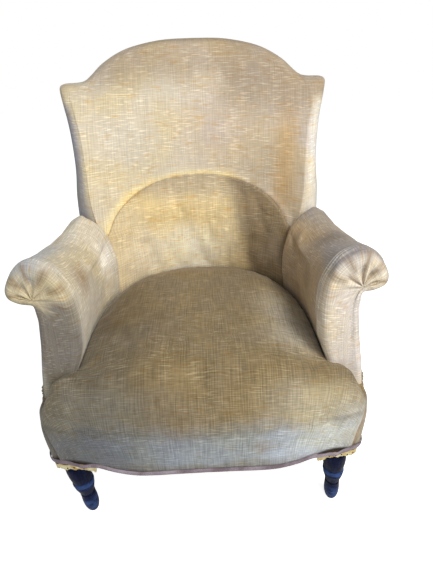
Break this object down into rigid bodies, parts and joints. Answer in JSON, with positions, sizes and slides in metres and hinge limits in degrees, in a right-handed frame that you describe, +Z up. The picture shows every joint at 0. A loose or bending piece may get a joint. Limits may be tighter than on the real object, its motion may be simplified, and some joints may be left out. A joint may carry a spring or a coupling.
{
  "type": "upholstered armchair",
  "caption": "Sagging old armchair with a humped back, arched lumbar pad, rolled arms with pleated fronts, a sprung seat with a serpentine hem and turned front legs.",
  "frame": {"origin": "on the floor, under the middle of the chair's bounding box", "axes": "+Z up; the chair faces -Y, and its right side as seen from the front is at +X"},
  "size_m": [0.7078, 0.69, 0.978],
  "materials": {
    "gold_velvet": "worn slubbed velvet, faded and stained",
    "ebonised_wood": "glossy black polish, rubbed on the turnings",
    "mauve_braid": "woven braid, partly come away",
    "calico": "torn lining cloth",
    "jute": "coarse woven jute",
    "coppered_steel": "coppered spring wire",
    "beech": "unpolished frame timber"
  },
  "bodies": {
    "root": {"arm_pad_left": "gold_velvet", "arm_pad_right": "gold_velvet", "arm_post_left": "beech", "arm_post_right": "beech", "arm_rail_left": "beech", "arm_rail_right": "beech", "back_pad": "gold_velvet", "back_rail": "beech", "back_webbing": "jute", "base_braid": "mauve_braid", "corner_block_left": "beech", "corner_block_right": "beech", "crest_rail": "beech", "front_leg_left": "ebonised_wood", "front_leg_right": "ebonised_wood", "front_rail": "beech", "leg_block_left": "beech", "leg_block_right": "beech", "lumbar_pad": "gold_velvet", "outside_arm_left": "gold_velvet", "outside_arm_right": "gold_velvet", "outside_back": "gold_velvet", "rear_post_left": "beech", "rear_post_right": "beech", "seat_pad": "gold_velvet", "seat_spring_1": "coppered_steel", "seat_spring_2": "coppered_steel", "seat_spring_3": "coppered_steel", "seat_spring_4": "coppered_steel", "seat_spring_5": "coppered_steel", "seat_spring_6": "coppered_steel", "seat_spring_7": "coppered_steel", "seat_spring_8": "coppered_steel", "seat_spring_9": "coppered_steel", "seat_webbing": "jute", "side_rail_left": "beech", "side_rail_right": "beech", "spring_canvas": "jute", "tie_rail": "beech", "torn_lining_left": "calico", "torn_lining_right": "calico"}
  },
  "joints": []
}
